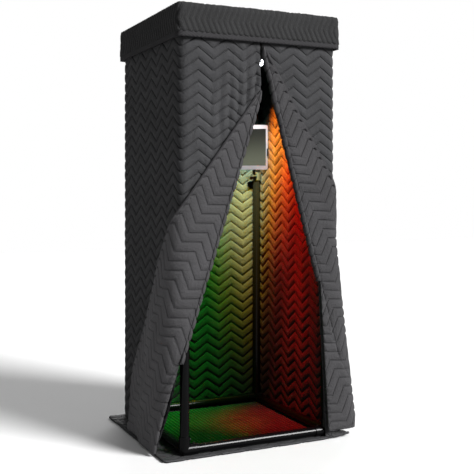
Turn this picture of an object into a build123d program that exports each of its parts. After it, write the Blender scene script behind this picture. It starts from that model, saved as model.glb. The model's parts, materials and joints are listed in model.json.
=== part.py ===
"""Soft-walled booth: a tube frame, quilted walls with two folded-back door flaps, a quilted
roof cover, a ground mat, a tablet on a post clamp and a clip-on lamp.

Frame: origin on the floor under the middle of the tube frame, +X to the right as seen from the
door, -Y out of the door, +Z up. Millimetres.
"""

from build123d import *
from math import cos, radians, sin, tan
import os

# ---------------------------------------------------------------- driving sizes
span_x = 720.0           # between post centres, across the door
span_y = 720.0           # between post centres, front to back
top_rail_z = 1956.0      # height of the top rails' centres
tube_r = 21.1            # outside radius of the frame tube
tube_wall = 3.2
fitting_reach = 60.0     # from the corner's centre to the end of each socket
socket_stop = 26.0       # from the corner's centre to the bottom of each socket
socket_gap = 0.1         # radial room between tube and socket
fitting_wall = 3.8
fitting_r = tube_r + socket_gap + fitting_wall  # outside radius of the corner fittings
tube_end_gap = 0.5       # between the tube's end and the bottom of its socket
joiner_length = 120.0    # spigot inside each two-piece post
seam_gap = 0.2           # between the two halves of a post
screw_r = 2.6            # shank radius of the fitting screws
screw_head_r = 4.6
screw_head_h = 2.4
screw_gap = 0.1          # round the shank and under the head

cloth = 8.0              # thickness of the quilted cloth
wall_gap = 1.0           # between the fittings and the inside of the walls
mat_side = 478.0         # half width of the ground mat
mat_end = 412.0          # half depth of the ground mat
mat_corner_r = 18.0
carpet_t = 6.0           # ribbed floor inside the frame
carpet_gap = 1.0

wall_top_drop = 6.0      # the walls' top edge below the top of the fittings
wall_lift = 2.0          # the walls' bottom edge above the mat
roof_gap = 1.0           # roof panel above the fittings
skirt_gap = 8.0          # roof skirt outside the walls
skirt_drop = 150.0       # from the top of the roof down to the skirt's edge
hem_band_h = 16.0        # stitched band round the foot of the skirt
hem_band_proud = 1.5

door_gap = 3.0           # from the middle of the door to each front panel's free edge
door_top_gap = 10.0      # flaps start this far below the skirt
flap_gap = 10.0          # folded flap in front of its front panel
left_fold_z = top_rail_z - 325.0    # height where the left fold leaves the free edge
left_fold_angle = 18.1   # of the fold from upright, degrees
left_tail_bearing = 8.8  # the tail's lie round the corner, in degrees out from the wall
right_fold_angle = 15.5
right_tail_bearing = 20.0
right_jamb = 345.0       # the right front panel's inner edge at the floor, from the middle
right_jamb_top = 750.0   # height where that edge leaves the fold
edge_gap = 5.0           # panels and flaps stop this far from a fold or corner line
corner_stand = 9.0       # corner line of a folded flap outside the wall

loop_w = 25.0            # hook-and-loop hangers on the top rails
loop_t = 2.0
loop_gap = 0.3
loop_count = 3
loop_pitch = 260.0

clamp_z = 1250.0         # tablet clamp's height on the rear right post
clamp_t = 3.6
clamp_h = 44.0
clamp_bore_gap = 0.3
clamp_slot = 3.0
ear_reach = 22.0         # the clamp's ears beyond its ring
knob_r = 10.0
arm_r = 7.0
arm_knee = 18.0          # level run of the arm at the clamp
arm_neck = 34.0          # level run of the arm behind the ball
stem_r = 4.5
contact_gap = 0.05       # between faces that touch
ball_out = 111.0         # ball from the post's centre
ball_z = 1404.0
ball_r = 9.0
ball_gap = 0.3
arm_bearing = 40.0       # arm's heading from the door direction, degrees toward the left
tablet_bearing = 26.0    # the way the tablet faces
tablet_w = 170.0
tablet_h = 240.0
tablet_t = 7.5
tablet_corner_r = 10.0
bezel_t = 1.0
bezel_side = 10.0
bezel_end = 21.0
button_r = 5.0
button_gap = 0.3
button_travel = 0.4
button_under = 0.3      # room left below the button when it is pressed
button_sunk = 0.2       # the button's top below the bezel
pocket = 1.0            # the button's pocket in the case

lamp_y = 150.0           # clip lamp on the right top rail
clip_w = 26.0
clip_t = 4.0
clip_gap = 0.3
clip_split = 0.6         # half the gap between the clip's jaws
lever_reach = 40.0       # the clip's long lever beyond its hinge pin
lever_y = 8.0            # the levers' middles above and below the rail's centre
knuckle_r = 5.0
knuckle_w = 8.0
pin_r = 2.0
hang_in = 7.0            # lamp arm from the long lever's tip
lamp_arm_r = 3.0
lamp_drop = 100.0        # tilt bolt below the long lever
bolt_r = 2.5
ear_r = 7.0
ear_w = 4.0
eye_w = 8.0
ear_out = 14.0           # tilt bolt behind the head's back
switch_r = 4.0
switch_travel = 0.8
lamp_head_r = 30.0
lamp_head_t = 24.0
lamp_lens_r = 9.0
lamp_turn = 32.0         # the lamp faces this far left of the door direction
lamp_lean = 48.0         # and this far up from straight down

# ---------------------------------------------------------------- sizes that follow
half_x, half_y = span_x / 2, span_y / 2
mat_top = cloth
bottom_rail_z = mat_top + fitting_r
fitting_top = top_rail_z + fitting_r
wall_in_x = half_x + fitting_r + wall_gap
wall_in_y = half_y + fitting_r + wall_gap
wall_out_x = wall_in_x + cloth
wall_out_y = wall_in_y + cloth
wall_top = fitting_top - wall_top_drop
wall_foot = mat_top + wall_lift
roof_under = fitting_top + roof_gap
roof_top = roof_under + cloth
skirt_in_x, skirt_in_y = wall_out_x + skirt_gap, wall_out_y + skirt_gap
skirt_foot = roof_top - skirt_drop
flap_top = skirt_foot - door_top_gap
flap_in_y = wall_out_y + flap_gap
flap_out_y = flap_in_y + cloth
post_seam_z = (bottom_rail_z + top_rail_z) / 2
screw_along = (socket_stop + fitting_reach) / 2   # from the corner's centre to a screw
corner_s = wall_out_x + corner_stand       # corner line of a flap, out from the middle
corner_y = flap_in_y + cloth / 2           # and out from the frame's middle
floor_line = wall_foot + edge_gap          # foot of a flap that hangs closed
left_fold_start = (door_gap, left_fold_z)  # where a fold starts (out from the middle, height)
right_fold_start = (door_gap, flap_top)


# ---------------------------------------------------------------- helpers
def tube(start, end):
    """A frame tube between two points."""
    a, b = Vector(*start), Vector(*end)
    along = Plane(origin=a, z_dir=b - a)
    length = (b - a).length
    outer = Cylinder(tube_r, length, align=(Align.CENTER, Align.CENTER, Align.MIN))
    inner = Cylinder(tube_r - tube_wall, length, align=(Align.CENTER, Align.CENTER, Align.MIN))
    return along * (outer - inner)


def rod(start, end, radius):
    """A round bar between two points."""
    a, b = Vector(*start), Vector(*end)
    return Plane(origin=a, z_dir=b - a) * Cylinder(
        radius, (b - a).length, align=(Align.CENTER, Align.CENTER, Align.MIN))


def flat_plate(outline, y_front, y_back):
    """An upright plate facing the door, from its (x, z) outline."""
    face = make_face(Polyline(*[(x, y_front, z) for x, z in outline], close=True))
    return extrude(face, amount=y_back - y_front, dir=(0, 1, 0))


def fold_offset(height, start, angle):
    """How far out from the middle a straight fold lies at a height."""
    return start[0] + (start[1] - height) * tan(radians(angle))


def fold_height(offset, start, angle):
    """The height at which a straight fold lies that far out from the middle."""
    return start[1] - (offset - start[0]) / tan(radians(angle))


# ---------------------------------------------------------------- frame
corners = {
    "front_left": (-half_x, -half_y), "front_right": (half_x, -half_y),
    "rear_left": (-half_x, half_y), "rear_right": (half_x, half_y),
}


def socket_ways(x, y, up):
    """A corner's three sockets: two level ones toward the frame's middle and one upright, each
    with the way that its screw points."""
    inward_x, inward_y = Vector(-1 if x > 0 else 1, 0, 0), Vector(0, -1 if y > 0 else 1, 0)
    upright = Vector(0, 0, up)
    return [(inward_x, upright), (inward_y, upright), (upright, inward_x)]


def corner_fitting(x, y, z, up):
    ways = socket_ways(x, y, up)
    body = Sphere(fitting_r)
    for way, _ in ways:
        body += rod((0, 0, 0), way * fitting_reach, fitting_r)
    for way, side in ways:
        body -= rod(way * socket_stop, way * (fitting_reach + 1), tube_r + socket_gap)
        seat = way * screw_along
        body -= rod(seat, seat + side * (fitting_r + 1), screw_r + screw_gap)
    return Pos(x, y, z) * body


def fitting_screws():
    """Three pan-head screws in each fitting, through its sockets' walls."""
    screws = []
    for x, y in corners.values():
        for z, up in ((bottom_rail_z, 1), (top_rail_z, -1)):
            for way, side in socket_ways(x, y, up):
                seat = Vector(x, y, z) + way * screw_along
                shank = rod(seat + side * (tube_r + socket_gap), seat + side * (fitting_r + 1), screw_r)
                head_at = seat + side * (fitting_r + screw_gap)
                head = rod(head_at, head_at + side * screw_head_h, screw_head_r)
                screws.append(shank + head)
    return Compound(children=[screw.solid() for screw in screws])


def post_joiners():
    """A spigot inside each two-piece post."""
    spigots = []
    radius = tube_r - tube_wall - socket_gap
    for x, y in corners.values():
        low = post_seam_z - joiner_length / 2
        spigots.append(rod((x, y, low), (x, y, low + joiner_length), radius))
    return Compound(children=[spigot.solid() for spigot in spigots])


def frame_parts():
    parts = {}
    inset = socket_stop + tube_end_gap
    for level, z in (("bottom", bottom_rail_z), ("top", top_rail_z)):
        end_x, end_y = half_x - inset, half_y - inset
        for side, y in (("front", -half_y), ("rear", half_y)):
            parts[f"{level}_{side}_rail"] = tube((-end_x, y, z), (end_x, y, z))
        for side, x in (("left", -half_x), ("right", half_x)):
            parts[f"{level}_{side}_rail"] = tube((x, -end_y, z), (x, end_y, z))
    for name, (x, y) in corners.items():
        seam = post_seam_z - seam_gap / 2
        parts[f"{name}_lower_post"] = tube((x, y, bottom_rail_z + inset), (x, y, seam))
        parts[f"{name}_upper_post"] = tube((x, y, seam + seam_gap), (x, y, top_rail_z - inset))
        parts[f"{name}_bottom_fitting"] = corner_fitting(x, y, bottom_rail_z, 1)
        parts[f"{name}_top_fitting"] = corner_fitting(x, y, top_rail_z, -1)
    parts["post_joiners"] = post_joiners()
    parts["fitting_screws"] = fitting_screws()
    return parts


# ---------------------------------------------------------------- floor
def floor_parts():
    mat = extrude(RectangleRounded(2 * mat_side, 2 * mat_end, mat_corner_r), amount=mat_top)
    room_x = half_x - fitting_r - carpet_gap
    room_y = half_y - fitting_r - carpet_gap
    carpet = Pos(0, 0, mat_top) * Box(2 * room_x, 2 * room_y, carpet_t,
                                      align=(Align.CENTER, Align.CENTER, Align.MIN))
    return {"ground_mat": mat, "floor_carpet": carpet}


# ---------------------------------------------------------------- walls
def wall_parts():
    height = wall_top - wall_foot
    depth = wall_in_y + wall_out_y
    rear = Pos(0, wall_in_y, wall_foot) * Box(
        2 * wall_out_x, cloth, height, align=(Align.CENTER, Align.MIN, Align.MIN))
    right = Pos(wall_in_x, -wall_out_y, wall_foot) * Box(
        cloth, depth, height, align=(Align.MIN, Align.MIN, Align.MIN))
    # The left wall's foot is cut away where its front corner folds out with the flap.
    corner_z = fold_height(wall_out_x, left_fold_start, left_fold_angle)
    fold_back = fold_offset(wall_foot, left_fold_start, left_fold_angle) - wall_out_x
    outline = [
        (wall_in_y, wall_top), (-wall_out_y, wall_top), (-wall_out_y, corner_z),
        (-wall_out_y + fold_back, wall_foot), (wall_in_y, wall_foot),
    ]
    sheet = make_face(Polyline(*[(-wall_out_x, y, z) for y, z in outline], close=True))
    left = extrude(sheet, amount=cloth, dir=(1, 0, 0))
    return {"rear_wall": rear, "right_wall": right, "left_wall": left}


def front_panels():
    left_edge = [
        (-wall_in_x, wall_top), (-door_gap, wall_top), (-door_gap, left_fold_z),
        (-wall_in_x, fold_height(wall_in_x, left_fold_start, left_fold_angle)),
    ]
    right_edge = [
        (wall_in_x, wall_top), (door_gap, wall_top), (door_gap, flap_top),
        (fold_offset(right_jamb_top, right_fold_start, right_fold_angle), right_jamb_top),
        (right_jamb, wall_foot), (wall_in_x, wall_foot),
    ]
    return {
        "front_left_panel": flat_plate(left_edge, -wall_out_y, -wall_in_y),
        "front_right_panel": flat_plate(right_edge, -wall_out_y, -wall_in_y),
    }


def hanging_loops():
    """Hook-and-loop bands round the top rails, each sewn to the wall beside it."""
    loops = []
    inner, outer = tube_r + loop_gap, tube_r + loop_gap + loop_t
    ring = Cylinder(outer, loop_w) - Cylinder(inner, loop_w)
    for i in range(loop_count):
        along = (i - (loop_count - 1) / 2) * loop_pitch
        for side in (-1, 1):
            # The tab reaches from inside the ring's wall to the quilted wall.
            tab = outer - loop_t / 2
            tab_y = Box(loop_w, wall_in_y - half_y - tab, loop_t)
            tab_y = Pos(0, side * (tab + wall_in_y - half_y) / 2, 0) * tab_y
            loops.append(Pos(along, side * half_y, top_rail_z) * (Rot(0, 90, 0) * ring + tab_y))
            tab_x = Box(wall_in_x - half_x - tab, loop_w, loop_t)
            tab_x = Pos(side * (tab + wall_in_x - half_x) / 2, 0, 0) * tab_x
            loops.append(Pos(side * half_x, along, top_rail_z) * (Rot(90, 0, 0) * ring + tab_x))
    return {"hanging_loops": Compound(children=[loop.solid() for loop in loops])}


# ---------------------------------------------------------------- door flaps
def flap_corners(start, angle):
    """Corners of a folded-back flap laid flat, as (out from the middle, height). Its free edge
    hangs upright from the fold's start when it is closed, so it lies at twice the fold's angle."""
    hem = radians(2 * angle)
    length = start[1] - floor_line
    hem_corner = (corner_s, start[1] - (corner_s - start[0]) / tan(hem))
    fold_corner = (corner_s, fold_height(corner_s, start, angle))
    run = length - (start[1] - fold_corner[1])
    return {
        "hem_corner": hem_corner,
        "fold_corner": fold_corner,
        "foot": (corner_s + run * sin(hem), fold_corner[1] - run * cos(hem)),
        "low": (start[0] + length * sin(hem), start[1] - length * cos(hem)),
    }


def flap(side, start, angle, bearing):
    """A flap's two panels: the front one, and the tail that lies round the corner."""
    lay = flap_corners(start, angle)
    # The top corner stands clear of the fold and of the free edge by the same gap.
    top_in = edge_gap / sin(radians(angle / 2))
    top_way = radians(1.5 * angle)
    reach = corner_s - edge_gap
    front = [
        (side * (start[0] + top_in * sin(top_way)), start[1] - top_in * cos(top_way)),
        (side * reach, lay["hem_corner"][1] + edge_gap),
        (side * reach, fold_height(reach - 2 * edge_gap, start, angle)),
    ]
    main = flat_plate(front, -flap_out_y, -flap_in_y)
    out_way = Vector(side * sin(radians(bearing)), cos(radians(bearing)), 0)
    tail_plane = Plane(
        origin=(side * corner_s, -corner_y, 0), x_dir=out_way, z_dir=out_way.cross(Vector(0, 0, 1)))
    outline = [(edge_gap, lay["hem_corner"][1] - edge_gap / tan(radians(2 * angle))),
               (edge_gap, lay["fold_corner"][1])]
    outline += [(lay[name][0] - corner_s, lay[name][1]) for name in ("foot", "low")]
    # In the tail's plane x runs away from the corner line and y is up.
    sheet = make_face(tail_plane * Polyline(*outline, close=True))
    tail = extrude(sheet, amount=cloth / 2, both=True)
    return main, tail


def door_flaps():
    left, left_tail = flap(-1, left_fold_start, left_fold_angle, left_tail_bearing)
    right, right_tail = flap(1, right_fold_start, right_fold_angle, right_tail_bearing)
    return {"left_flap": left, "left_flap_tail": left_tail,
            "right_flap": right, "right_flap_tail": right_tail}


# ---------------------------------------------------------------- roof cover
def roof_parts():
    out_x, out_y = skirt_in_x + cloth, skirt_in_y + cloth
    panel = Pos(0, 0, roof_under) * extrude(Rectangle(2 * out_x, 2 * out_y), amount=cloth)
    rim = Rectangle(2 * out_x, 2 * out_y) - Rectangle(2 * skirt_in_x, 2 * skirt_in_y)
    skirt = Pos(0, 0, skirt_foot) * extrude(rim, amount=roof_under - skirt_foot)
    band_x, band_y = out_x + hem_band_proud, out_y + hem_band_proud
    band_rim = Rectangle(2 * band_x, 2 * band_y) - Rectangle(2 * out_x, 2 * out_y)
    band = Pos(0, 0, skirt_foot) * extrude(band_rim, amount=hem_band_h)
    return {"roof_panel": panel, "roof_skirt": skirt, "roof_hem_band": band}


# ---------------------------------------------------------------- tablet and its holder
def facing(bearing):
    """Level direction toward the door, turned to the left by a bearing."""
    return Vector(-sin(radians(bearing)), -cos(radians(bearing)), 0)


post = Vector(half_x, half_y, 0)
arm_way = facing(arm_bearing)
face_way = facing(tablet_bearing)
across = Vector(0, 0, 1).cross(face_way)          # to the right as seen from the door
ball = post + arm_way * ball_out + Vector(0, 0, ball_z)
face_plane = Plane(origin=ball, x_dir=across, z_dir=face_way)


over = 1.0              # how far a cutter runs past what it cuts
boss_w = 18.0
screw_hole_r = 3.2      # the clamp screw's clearance hole
clamp_screw_r = 2.9
knob_h = 12.0
knob_stand = 7.0        # the knob's middle beyond the ears
notch_count = 6         # finger notches round the knob
notch_r = 3.0
notch_out = 1.5
nut_r = 5.4
nut_h = 5.0
nut_stand = 2.8         # the nut's middle beyond the ears
knee_bend = 0.6         # bend radii as shares of the runs beside them
neck_bend = 0.25


def clamp_parts():
    """In the clamp's plane x points left from the post, y to the door and z up. The knob's
    screw crosses the ears below the arm's boss."""
    clamp_plane = Plane(origin=post + Vector(0, 0, clamp_z), x_dir=(-1, 0, 0), z_dir=(0, 0, 1))
    bore = tube_r + clamp_bore_gap
    ring_r = bore + clamp_t
    ring = Cylinder(ring_r, clamp_h)
    ear_h = clamp_h / 2
    ear_x = ring_r + ear_reach / 2
    ears = Pos(ear_x, 0, -ear_h / 2) * Box(ear_reach + 2 * clamp_t, 4 * clamp_t, ear_h)
    arm_turn = 90 - arm_bearing
    boss = Rot(0, 0, arm_turn) * Pos(ring_r + clamp_t, 0, ear_h / 2) * Box(6 * clamp_t, boss_w, ear_h)
    body = ring + ears + boss
    body -= Cylinder(bore, clamp_h + over)
    slot_reach = ring_r + ear_reach
    body -= Pos(slot_reach, 0, 0) * Box(2 * slot_reach, clamp_slot, clamp_h + over)
    screw_at = Pos(ear_x + clamp_t, 0, -ear_h / 2) * Rot(-90, 0, 0)
    body -= screw_at * Cylinder(screw_hole_r, 8 * clamp_t)
    knob_z = 2 * clamp_t + knob_stand
    knob = Pos(0, 0, knob_z) * Cylinder(knob_r, knob_h)
    for i in range(notch_count):
        turn = Rot(0, 0, 360 * i / notch_count)
        knob -= turn * Pos(knob_r + notch_out, 0, knob_z) * Cylinder(notch_r, knob_h + 2 * over)
    knob += Cylinder(clamp_screw_r, 4 * clamp_t + knob_h)
    nut_at = Pos(0, 0, -2 * clamp_t - nut_stand)
    nut = nut_at * Cylinder(nut_r, nut_h) - nut_at * Cylinder(screw_hole_r, nut_h + over)
    boss_z = Vector(0, 0, clamp_z + ear_h / 2)
    start = post + arm_way * (ring_r + 4 * clamp_t + contact_gap) + boss_z
    knee = start + arm_way * arm_knee
    neck = ball - face_way * arm_neck
    stem = ball - face_way * (arm_neck / 2)
    path = FilletPolyline(start, knee, neck, stem, radius=[arm_knee * knee_bend, arm_neck * neck_bend])
    arm = sweep(Plane(origin=start, z_dir=arm_way) * Circle(arm_r), path=path)
    arm += rod(stem - face_way, ball, stem_r) + Pos(*ball) * Sphere(ball_r)
    return {
        "post_clamp": clamp_plane * body,
        "clamp_knob": clamp_plane * screw_at * knob,
        "clamp_nut": clamp_plane * screw_at * nut,
        "holder_arm": arm,
    }


plate_back = 12.0       # holder's back plate ahead of the ball's centre
plate_t = 5.0
plate_w = 74.0
plate_h = 58.0
jaw_h = 40.0
jaw_lip = 5.0
jaw_t = 4.0
grip_gap = 0.2          # between the tablet and what holds it
tablet_back = plate_back + plate_t + grip_gap
jaw_z = -28.0           # the jaws grip below the ball's height
lip_t = 2.4
lip_out = 1.2           # the lips' middles ahead of the tablet's face
side_over = 3.0         # the jaws' sides beyond the tablet's thickness
tongue_w = 12.0         # sliding tongue of the right jaw
tongue_t = 3.0
tongue_in = 8.0         # its inner end from the plate's middle
tongue_room = 0.4       # the tunnel's width and height beyond the tongue's
cup_r = 14.0            # socket cup round the ball
cup_l = 23.0
cup_mid = 0.5
mouth_r = 13.0          # the cup's flared mouth, for the arm to swing in
mouth_h = 12.0
mouth_mid = -11.0
mouth_waist = 0.62      # share of the ball's radius at the mouth's throat


def holder_parts():
    """In the face plane: x across to the right, y up, z toward the user."""
    cup = Pos(0, 0, cup_mid) * Cylinder(cup_r, cup_l) - Sphere(ball_r + ball_gap)
    cup -= Pos(0, 0, mouth_mid) * Cone(mouth_r, ball_r * mouth_waist, mouth_h)
    cup = face_plane * cup
    grip_x = tablet_w / 2
    plate = Pos(0, jaw_z / 2, plate_back + plate_t / 2) * Box(plate_w, plate_h - jaw_z / 2, plate_t)
    rail_w = grip_x + jaw_t
    left_bar = Pos(-rail_w / 2, jaw_z, plate_back + plate_t / 2) * Box(rail_w, jaw_h * 0.5, plate_t)
    side_h = plate_t + tablet_t + side_over
    side_z = plate_back + side_h / 2
    side_x = grip_x + grip_gap + jaw_t / 2
    lip_x = grip_x + grip_gap - (jaw_lip - jaw_t) / 2
    lip_z = tablet_back + tablet_t + grip_gap + lip_out
    side_box = Box(jaw_t, jaw_h, side_h)
    lip_box = Box(jaw_t + jaw_lip, jaw_h, lip_t)
    left_side = Pos(-side_x, jaw_z, side_z) * side_box
    left_lip = Pos(-lip_x, jaw_z, lip_z) * lip_box
    tunnel_l = plate_w / 2 + 2.5 * over
    tunnel = Pos(tunnel_l / 2, jaw_z, plate_back + plate_t / 2) * Box(
        tunnel_l, tongue_w + tongue_room, tongue_t + tongue_room)
    back = plate + left_bar + left_side + left_lip - tunnel
    tongue = Pos((tongue_in + grip_x + jaw_t) / 2, jaw_z, plate_back + plate_t / 2) * Box(
        grip_x + jaw_t - tongue_in, tongue_w, tongue_t)
    right_side = Pos(side_x, jaw_z, side_z) * side_box
    right_lip = Pos(lip_x, jaw_z, lip_z) * lip_box
    jaw = tongue + right_side + right_lip
    return {
        "ball_socket": cup,
        "holder_back": face_plane * back,
        "holder_jaw": face_plane * jaw,
    }


def tablet_parts():
    case = extrude(RectangleRounded(tablet_w, tablet_h, tablet_corner_r), amount=tablet_t - bezel_t)
    button_y = -tablet_h / 2 + bezel_end / 2
    bezel = extrude(RectangleRounded(tablet_w, tablet_h, tablet_corner_r), amount=bezel_t)
    window = Box(tablet_w - 2 * bezel_side, tablet_h - 2 * bezel_end, bezel_t,
                 align=(Align.CENTER, Align.CENTER, Align.MIN))
    bezel -= window
    bezel -= Pos(0, button_y, 0) * Cylinder(button_r + button_gap, 4 * bezel_t)
    case -= Pos(0, button_y, tablet_t - bezel_t) * Cylinder(button_r + button_gap, 2 * pocket)
    button_low = button_travel + button_under - pocket
    button = Pos(0, button_y, button_low) * Cylinder(
        button_r, bezel_t - button_sunk - button_low, align=(Align.CENTER, Align.CENTER, Align.MIN))
    base = face_plane * Pos(0, 0, tablet_back)
    glass = base * Pos(0, 0, tablet_t - bezel_t)
    return {
        "tablet_case": base * case,
        "tablet_bezel": glass * bezel,
        "tablet_screen": glass * window,
        "tablet_button": glass * button,
    }


# ---------------------------------------------------------------- clip lamp
pin_out = 6.0           # hinge pin outside the clip's shell
pin_over = 1.0          # the pin beyond the clip at each end
collar_h = 3.0          # collars above and below the long lever
collar_in = 2.0
bolt_head_h = 3.0
head_round = 6.0        # rounding of the head's back edge
rim_w = 2.5             # wall round the head's open face
recess = 3.0            # lenses set back in the head
lens_count = 3
lens_ring_r = 13.5
lens_t = 2.4
switch_inset = 2.0
switch_h = 3.5
switch_pocket = 8.0


def lamp_parts():
    """In the rail's plane x is across to the right, y is up and z runs along the rail."""
    rail = Plane(origin=(half_x, lamp_y, top_rail_z), x_dir=(1, 0, 0), z_dir=(0, -1, 0))
    grip = tube_r + clip_gap
    outer = grip + clip_t
    pin_x = -(outer + pin_out)
    tip_x = pin_x - lever_reach
    shell = Cylinder(outer, clip_w) - Cylinder(grip, clip_w)
    half = Box(4 * outer, 2 * outer, 2 * clip_w)
    pin_at = Pos(pin_x, 0, 0)
    upper = shell & (Pos(0, outer + clip_split, 0) * half)
    upper += Pos((tip_x - grip) / 2, lever_y, 0) * Box(-tip_x - grip, clip_t, clip_w)
    upper += pin_at * (Cylinder(knuckle_r, knuckle_w) + Pos(0, lever_y / 2, 0) * Box(
        2 * knuckle_r, lever_y, knuckle_w))
    upper -= Cylinder(grip, clip_w + over) + pin_at * Cylinder(pin_r + clip_gap, clip_w + over)
    lower = shell & (Pos(0, -outer - clip_split, 0) * half)
    short = lever_reach / 2
    lower += Pos((pin_x - short - grip) / 2, -lever_y, 0) * Box(short - pin_x - grip, clip_t, clip_w)
    cheek_w = (clip_w - knuckle_w) / 2 - clip_split
    for end in (-1, 1):
        cheek = Cylinder(knuckle_r, cheek_w) + Pos(0, -lever_y / 2, 0) * Box(
            2 * knuckle_r, lever_y, cheek_w)
        lower += pin_at * Pos(0, 0, end * (clip_w - cheek_w) / 2) * cheek
    lower -= Cylinder(grip, clip_w + over) + pin_at * Cylinder(pin_r + clip_gap, clip_w + over)
    pin = pin_at * Cylinder(pin_r, clip_w + 2 * pin_over)

    # The arm hangs from the upper lever's tip and turns there; the head tilts on its bolt.
    hang = Vector(half_x + tip_x + hang_in, lamp_y, top_rail_z + lever_y)
    bolt_at = hang - Vector(0, 0, lamp_drop)
    upper -= Pos(tip_x + hang_in, lever_y, 0) * Rot(90, 0, 0) * Cylinder(lamp_arm_r + clip_gap, 2 * clip_t)
    way = facing(lamp_turn)
    side = Vector(0, 0, 1).cross(way)
    bolt_plane = Plane(origin=bolt_at, x_dir=way, z_dir=side)
    up = Vector(0, 0, 1)
    collar_at = clip_t / 2 + clip_gap
    arm = rod(bolt_at + up * (ear_r / 2), hang + up * (collar_at + collar_in), lamp_arm_r)
    for end in (-1, 1):
        arm += rod(hang + up * end * collar_at, hang + up * end * (collar_at + collar_h), 2 * lamp_arm_r)
    arm += bolt_plane * Cylinder(ear_r, eye_w)
    arm -= bolt_plane * Cylinder(bolt_r + clip_gap, 2 * eye_w)
    ear_at = (eye_w + ear_w) / 2 + clip_gap
    bolt = Cylinder(bolt_r, 2 * ear_at + ear_w + over)
    for end in (-1, 1):
        head_mid = ear_at + ear_w / 2 + clip_gap + bolt_head_h / 2
        bolt += Pos(0, 0, end * head_mid) * Cylinder(2 * bolt_r, bolt_head_h)
    bolt = bolt_plane * bolt
    look = way * sin(radians(lamp_lean)) + Vector(0, 0, -1) * cos(radians(lamp_lean))
    head_plane = Plane(origin=bolt_at + look * ear_out, x_dir=side, z_dir=look)
    housing = Cylinder(lamp_head_r, lamp_head_t, align=(Align.CENTER, Align.CENTER, Align.MIN))
    housing = fillet(housing.edges().group_by(Axis.Z)[0], head_round)
    housing -= Pos(0, 0, lamp_head_t - recess) * Cylinder(
        lamp_head_r - rim_w, recess + over, align=(Align.CENTER, Align.CENTER, Align.MIN))
    lens_at = [Rot(0, 0, 90 + 360 * i / lens_count) * Pos(lens_ring_r, 0, lamp_head_t - recess)
               for i in range(lens_count)]
    switch_at = Pos(0, lamp_head_r - switch_inset, lamp_head_t / 2 - 1) * Rot(-90, 0, 0)
    switch = switch_at * Pos(0, 0, switch_travel) * Cylinder(
        switch_r, switch_h, align=(Align.CENTER, Align.CENTER, Align.MIN))
    housing -= switch_at * Cylinder(
        switch_r + clip_gap, switch_pocket, align=(Align.CENTER, Align.CENTER, Align.MIN))
    for end in (-1, 1):
        housing += Pos(end * ear_at, 0, -ear_out / 2 + 0.5) * Box(ear_w, 2 * ear_r, ear_out + 1)
        housing += Pos(end * ear_at, 0, -ear_out) * Rot(0, 90, 0) * Cylinder(ear_r, ear_w)
    housing -= Pos(0, 0, -ear_out) * Rot(0, 90, 0) * Cylinder(bolt_r + clip_gap, 4 * ear_at)
    head = head_plane * housing
    lenses = [head_plane * at * Cylinder(lamp_lens_r, lens_t, align=(Align.CENTER, Align.CENTER, Align.MIN))
              for at in lens_at]
    return {
        "lamp_clip": rail * upper,
        "lamp_clip_jaw": rail * lower,
        "lamp_clip_pin": rail * pin,
        "lamp_arm": arm,
        "lamp_bolt": bolt,
        "lamp_head": head,
        "lamp_lenses": Compound(children=[lens.solid() for lens in lenses]),
        "lamp_switch": head_plane * switch,
    }


# ---------------------------------------------------------------- write
def main():
    parts = {}
    for made in (frame_parts(), floor_parts(), wall_parts(), front_panels(), hanging_loops(),
                 door_flaps(), roof_parts(), clamp_parts(), holder_parts(),
                 tablet_parts(), lamp_parts()):
        parts.update(made)
    os.makedirs("parts", exist_ok=True)
    for name, shape in parts.items():
        export_step(shape, f"parts/{name}.step")


main()
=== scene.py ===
"""Finishes a portable soft-walled booth: quilted cloth built over the frame's plain solids,
materials for the hard parts, and a plain studio round it."""

import json
import math

import bmesh
import bpy
import numpy as np
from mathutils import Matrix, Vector, noise

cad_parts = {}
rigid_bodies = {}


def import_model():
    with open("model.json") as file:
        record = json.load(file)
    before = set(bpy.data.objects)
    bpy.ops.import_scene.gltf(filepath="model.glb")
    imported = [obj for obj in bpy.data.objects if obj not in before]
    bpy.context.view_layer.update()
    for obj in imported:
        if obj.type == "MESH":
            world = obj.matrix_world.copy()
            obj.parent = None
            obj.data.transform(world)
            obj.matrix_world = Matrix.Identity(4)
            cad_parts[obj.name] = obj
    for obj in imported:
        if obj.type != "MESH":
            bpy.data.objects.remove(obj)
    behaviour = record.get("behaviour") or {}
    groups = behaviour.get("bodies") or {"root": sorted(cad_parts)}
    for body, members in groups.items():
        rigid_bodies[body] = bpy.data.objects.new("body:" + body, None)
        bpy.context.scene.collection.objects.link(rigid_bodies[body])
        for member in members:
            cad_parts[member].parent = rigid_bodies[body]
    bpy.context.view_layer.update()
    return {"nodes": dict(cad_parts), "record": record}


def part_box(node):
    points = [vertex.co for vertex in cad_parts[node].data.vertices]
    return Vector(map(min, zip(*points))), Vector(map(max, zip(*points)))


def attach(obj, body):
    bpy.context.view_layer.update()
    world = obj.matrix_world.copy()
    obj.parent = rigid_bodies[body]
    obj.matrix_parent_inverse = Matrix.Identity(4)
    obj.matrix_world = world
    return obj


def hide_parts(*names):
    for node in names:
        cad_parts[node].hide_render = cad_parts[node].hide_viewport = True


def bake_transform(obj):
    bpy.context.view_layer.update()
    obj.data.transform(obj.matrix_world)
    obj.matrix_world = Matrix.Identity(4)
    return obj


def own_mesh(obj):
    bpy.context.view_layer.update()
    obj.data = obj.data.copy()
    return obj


bl_info = {
    "name": "Soft-walled booth",
    "version": (1, 0, 0),
    "blender": (4, 5, 0),
    "location": "View3D > Sidebar > Booth",
    "description": "Quilted cloth, finishes and studio for a portable booth",
    "category": "Object",
}

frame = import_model()

MM = 0.001


# ---------------------------------------------------------------- sizes read from the frame
def box_mm(node):
    low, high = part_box(node)
    return np.array(low) / MM, np.array(high) / MM


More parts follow.
